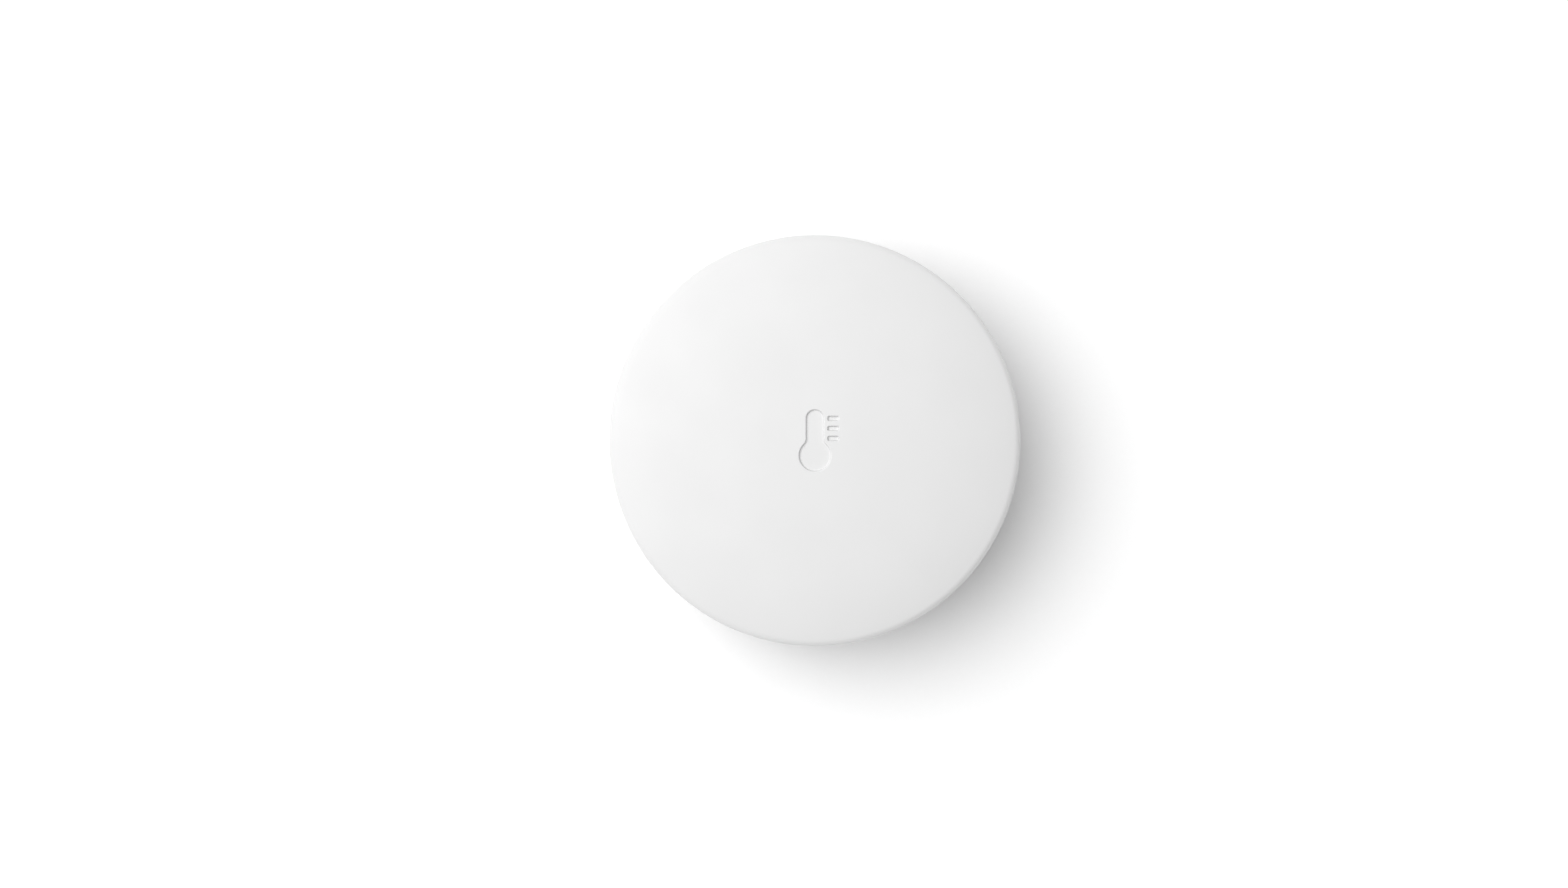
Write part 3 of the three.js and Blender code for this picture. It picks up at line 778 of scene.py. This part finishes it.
def grown(name, tree, values, points=()):
    # an object whose mesh the tree makes from these values and points
    mesh = bpy.data.meshes.new(name)
    mesh.from_pydata([upright(*point) for point in points], [], [])
    piece = bpy.data.objects.new(name, mesh)
    bpy.context.scene.collection.objects.link(piece)
    step = piece.modifiers.new(name, "NODES")
    step.node_group = tree
    sockets = {item.name: item.identifier for item in tree.interface.items_tree if item.in_out == "INPUT"}
    for socket, value in values.items():
        step[sockets[socket]] = value
    return plainMesh(piece)


def springTree():
    sizes = {"Turns": "Float", "Narrow": "Float", "Wide": "Float", "Length": "Float", "Wire": "Float",
             "At": "Vector"}
    tree, given = startTree("conical spring", sizes)
    coil = addNode(tree, "GeometryNodeCurveSpiral", {"Resolution": 48}, {"Rotations": given["Turns"],
                   "Start Radius": given["Narrow"], "End Radius": given["Wide"], "Height": given["Length"]})
    section = addNode(tree, "GeometryNodeCurvePrimitiveCircle", {"Resolution": 16}, {"Radius": given["Wire"]})
    wire = addNode(tree, "GeometryNodeCurveToMesh", {"Fill Caps": True}, {"Curve": coil.outputs[0],
                   "Profile Curve": section.outputs[0]})
    smooth = addNode(tree, "GeometryNodeSetShadeSmooth", {}, {"Geometry": wire.outputs[0]})
    laid = addNode(tree, "GeometryNodeTransform", {"Rotation": (0, math.pi / 2, 0)},
                   {"Geometry": smooth.outputs[0], "Translation": given["At"]})
    endTree(tree, laid.outputs[0], nickel)
    return tree


def repeatTree(name, material):
    # one copy of the model at each point
    tree, given = startTree(name, {"Model": "Object"})
    model = addNode(tree, "GeometryNodeObjectInfo", {}, {"Object": given["Model"]})
    copies = addNode(tree, "GeometryNodeInstanceOnPoints", {}, {"Points": given["Geometry"],
                     "Instance": model.outputs["Geometry"]})
    endTree(tree, copies.outputs[0], material)
    return tree


def repeated(name, model, points, material):
    piece = grown(name, repeatTree(name, material), {"Model": model}, points)
    bpy.data.objects.remove(model)
    return piece


def viaTree():
    # short rings scattered over a field, never closer together than the spacing
    sizes = {"Width": "Float", "Height": "Float", "Spacing": "Float", "Density": "Float", "Radius": "Float",
             "Depth": "Float", "At": "Vector"}
    tree, given = startTree("plated vias", sizes)
    field = addNode(tree, "GeometryNodeMeshGrid", {}, {"Size X": given["Width"], "Size Y": given["Height"]})
    spots = addNode(tree, "GeometryNodeDistributePointsOnFaces", {"distribute_method": "POISSON", "Seed": 7},
                    {"Mesh": field.outputs[0], "Distance Min": given["Spacing"],
                     "Density Max": given["Density"]})
    ring = addNode(tree, "GeometryNodeMeshCylinder", {"Vertices": 12},
                   {"Radius": given["Radius"], "Depth": given["Depth"]})
    copies = addNode(tree, "GeometryNodeInstanceOnPoints", {}, {"Points": spots.outputs[0],
                     "Instance": ring.outputs[0]})
    laid = addNode(tree, "GeometryNodeTransform", {},
                   {"Geometry": copies.outputs[0], "Translation": given["At"]})
    endTree(tree, laid.outputs[0], tin)
    return tree


spring = {"turns": 3.5, "wire": 0.25, "narrow": 2.3, "wide": 3.4}
springLow, springHigh = boxOf("negative_spring")
springLength = springHigh.x - springLow.x
springValues = {
    "Turns": spring["turns"], "Narrow": spring["narrow"] * mm, "Wide": spring["wide"] * mm,
    "Wire": spring["wire"] * mm, "Length": (springLength - 2 * spring["wire"]) * mm,
    "At": upright(springLow.x + spring["wire"], (canLow.y + canHigh.y) / 2, (canLow.z + canHigh.z) / 2),
}
negativeSpring = place(grown("negativeSpring", springTree(), springValues), nickel, "housing", "nickel",
                       "negative_spring")
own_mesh(negativeSpring)


# four pan-head screws with a cross recess

screw = {"head": 1.7, "headHeight": 1.2, "headRound": 0.45, "shank": 0.85, "thread": 0.13, "pitch": 0.55,
         "crest": 0.22, "neck": 0.3, "point": 0.5, "pointRadius": 0.2, "recess": 0.55, "steps": 48}
cross = {"length": 1.9, "width": 0.42, "corner": 0.08}
screwLow, screwHigh = boxOf("screw_1")


def makeScrewModel():
    # stands at the origin with its head's underside at z = 0
    head, height, headRound = screw["head"], screw["headHeight"], screw["headRound"]
    root, length = screw["shank"] - screw["thread"], screwHigh.z - screwLow.z - height
    outline = [(0, -height)] + arc(head - headRound, headRound - height, headRound, -90, 0, 6)
    outline += [(head, 0), (root, 0)]
    for i in range(int((length - 2 * screw["point"]) / screw["pitch"])):
        z = screw["neck"] + i * screw["pitch"]
        outline += [(root, z), (screw["shank"], z + screw["crest"]), (root, z + 2 * screw["crest"])]
    outline += [(root, length - screw["point"]), (screw["pointRadius"], length), (0, length)]
    model = finished(turned(bmesh.new(), outline, screw["steps"]), "screwModel")
    arms = []
    for width, depth in ((cross["length"], cross["width"]), (cross["width"], cross["length"])):
        work = standing(bmesh.new(), roundedOutline(0, 0, width, depth, cross["corner"], 3), -height - past,
                        screw["recess"] - height)
        arms.append(("DIFFERENCE", finished(work, "arm")))
    return carved(model, arms)


screwPlaces = []
for low, high in (boxOf(node) for node in screwNodes):
    screwPlaces.append(((low.x + high.x) / 2, (low.y + high.y) / 2, low.z + screw["headHeight"]))
place(repeated("boardScrews", makeScrewModel(), screwPlaces, zinc), zinc, "housing", "screw", *screwNodes)
print("spring and screws made")


# what the board carries: plated vias, leads on the chips and tinned ends on the capacitors

vias = {"width": 26, "height": 7, "inset": 1, "spacing": 1.1, "radius": 0.16, "depth": 0.04,
        "perSquareMm": 0.4}
boardLow = boxOf("main_board")[0]
viaValues = {
    "Width": vias["width"] * mm, "Height": vias["height"] * mm, "Spacing": vias["spacing"] * mm,
    "Radius": vias["radius"] * mm, "Depth": vias["depth"] * mm, "Density": vias["perSquareMm"] / mm ** 2,
    "At": upright(0, boardLow.y + vias["inset"] + vias["height"] / 2, boardLow.z),
}
place(grown("platedVias", viaTree(), viaValues), tin, "housing", "tin")


capacitors = [f"capacitor_{i}" for i in range(1, 5)]
# name: material, slot, edge rounding in mm, and the radius of the dimple that marks a chip's first pin
boardPieces = {
    "radio_chip": (epoxy, "chip", 0.06, 0.3),
    "memory_chip": (epoxy, "chip", 0.12, 0.3),
    "temperature_sensor": (epoxy, "chip", 0.05, 0.12),
    "inductor": (epoxy, "chip", 0.25, 0),
    "antenna": (ceramic, "ceramic", 0.08, 0),
    "bulk_capacitor": (ceramic, "ceramic", 0.18, 0),
    **{node: (ceramic, "ceramic", 0.07, 0) for node in capacitors},
}
# a block's corner and bevel are shares of its edge rounding, and its dimple is this many of its radii inwards
block = {"corner": 1.5, "bevel": 0.6, "dimpleIn": 2.2, "dimpleDepth": 0.06}
crystal = {"corner": 0.35, "brim": 0.12, "brimHeight": 0.15, "edge": 0.06}
sheetCan = {"sheet": 0.25, "corner": 0.5, "hole": 0.45, "drill": 0.6, "pitch": 2.2, "columns": 4, "rows": 2,
            "edge": 0.06}


def makeBoardPiece(node, edge, dimple):
    # the pieces hang below the board, so a dimple goes into the lowest face
    low, high = boxOf(node)
    piece = standingBlock(pieceName(node), low, high, edge * block["corner"])
    if dimple:
        inwards = block["dimpleIn"] * dimple
        spot = slotOutline(low.x + inwards, high.y - inwards, dimple)
        tool = finished(standing(bmesh.new(), spot, low.z - past, low.z + block["dimpleDepth"]), "dimple")
        carved(piece, [("DIFFERENCE", tool)])
    return softened(piece, edge * block["bevel"])


def makeCrystal(node):
    # a drawn can on a brim that is welded down all round
    low, high = boxOf(node)
    inset = Vector((crystal["brim"], crystal["brim"], 0))
    shoulder = Vector((0, 0, high.z - low.z - crystal["brimHeight"]))
    body = standingBlock(pieceName(node), low + inset, high - inset, crystal["corner"])
    brim = standingBlock("brim", low + shoulder, high, crystal["corner"])
    return softened(carved(body, [("UNION", brim)]), crystal["edge"])


def makeShield():
    # a folded cover, open towards the board, with rows of holes that let the solder's heat through
    low, high = boxOf("shield_can")
    sheet, pitch = sheetCan["sheet"], sheetCan["pitch"]
    firstX = (low.x + high.x) / 2 - (sheetCan["columns"] - 1) / 2 * pitch
    firstY = (low.y + high.y) / 2 - (sheetCan["rows"] - 1) / 2 * pitch
    room = standingBlock("room", low + Vector((sheet, sheet, sheet)), high + Vector((-sheet, -sheet, past)),
                         sheetCan["corner"] - sheet)
    piece = carved(standingBlock("shieldCover", low, high, sheetCan["corner"]), [("DIFFERENCE", room)])
    drills = []
    for column in range(sheetCan["columns"]):
        for row in range(sheetCan["rows"]):
            hole = slotOutline(firstX + column * pitch, firstY + row * pitch, sheetCan["hole"])
            work = standing(bmesh.new(), hole, low.z - past, low.z + sheetCan["drill"])
            drills.append(("DIFFERENCE", finished(work, "drill")))
    return softened(carved(piece, drills), sheetCan["edge"])


for node, (material, slot, edge, dimple) in boardPieces.items():
    place(makeBoardPiece(node, edge, dimple), material, "housing", slot, node)
for node in ("radio_crystal", "clock_crystal"):
    place(makeCrystal(node), tin, "housing", "tin", node)
place(makeShield(), tin, "housing", "tin", "shield_can")
print("board pieces made")


# leads and tinned ends, one model repeated at each place

# the lead's path is in mm out from the chip's side and up towards the board
lead = {"width": 0.4, "sheet": 0.14, "count": 4, "path": [(-0.1, 0), (0.25, 0), (0.45, 0.42), (0.8, 0.45)]}
tinnedEnd = {"length": 0.34, "proud": 0.03, "edge": 0.04, "corner": 0.05, "inset": 0.13, "short": 0.02}


def makeLead(side):
    # a gull-wing lead that leaves the chip's side towards side * Y and turns up to the board
    half, thick = lead["width"] / 2, lead["sheet"] / 2
    work = bmesh.new()
    rows = []
    for out, up in lead["path"]:
        corners = ((-half, -thick), (half, -thick), (half, thick), (-half, thick))
        rows.append([work.verts.new(upright(x, side * out, up + z)) for x, z in corners])
    for first, second in zip(rows, rows[1:]):
        for i in range(4):
            work.faces.new((first[i], first[(i + 1) % 4], second[(i + 1) % 4], second[i]))
    work.faces.new(rows[0])
    work.faces.new(rows[-1])
    return finished(work, "leadModel", 20)


def leadPlaces(node, side):
    low, high = boxOf(node)
    pitch = (high.x - low.x) / lead["count"]
    y = high.y if side > 0 else low.y
    return [(low.x + (i + 0.5) * pitch, y, (low.z + high.z) / 2) for i in range(lead["count"])]


def makeEnd(width, height):
    half = height / 2 + tinnedEnd["proud"]
    width += 2 * tinnedEnd["proud"]
    outline = roundedOutline(0, 0, tinnedEnd["length"], width, tinnedEnd["corner"], 3)
    work = standing(bmesh.new(), outline, -half, half - tinnedEnd["short"])
    return softened(finished(work, "endModel"), tinnedEnd["edge"])


def endPlaces(nodes):
    places = []
    for low, high in (boxOf(node) for node in nodes):
        middle, inset = (low + high) / 2, tinnedEnd["inset"]
        places += [(x, middle.y, middle.z) for x in (low.x + inset, high.x - inset)]
    return places


def endsFor(name, nodes):
    low, high = boxOf(nodes[0])
    model = makeEnd(high.y - low.y, high.z - low.z)
    place(repeated(name, model, endPlaces(nodes), tin), tin, "housing", "tin")


for name, side in (("memoryLeadsBelow", -1), ("memoryLeadsAbove", 1)):
    place(repeated(name, makeLead(side), leadPlaces("memory_chip", side), tin), tin, "housing", "tin")
endsFor("capacitorEnds", capacitors)
endsFor("antennaEnds", ["antenna"])
endsFor("inductorEnds", ["inductor"])
endsFor("bulkCapacitorEnds", ["bulk_capacitor"])
print("board furnished")
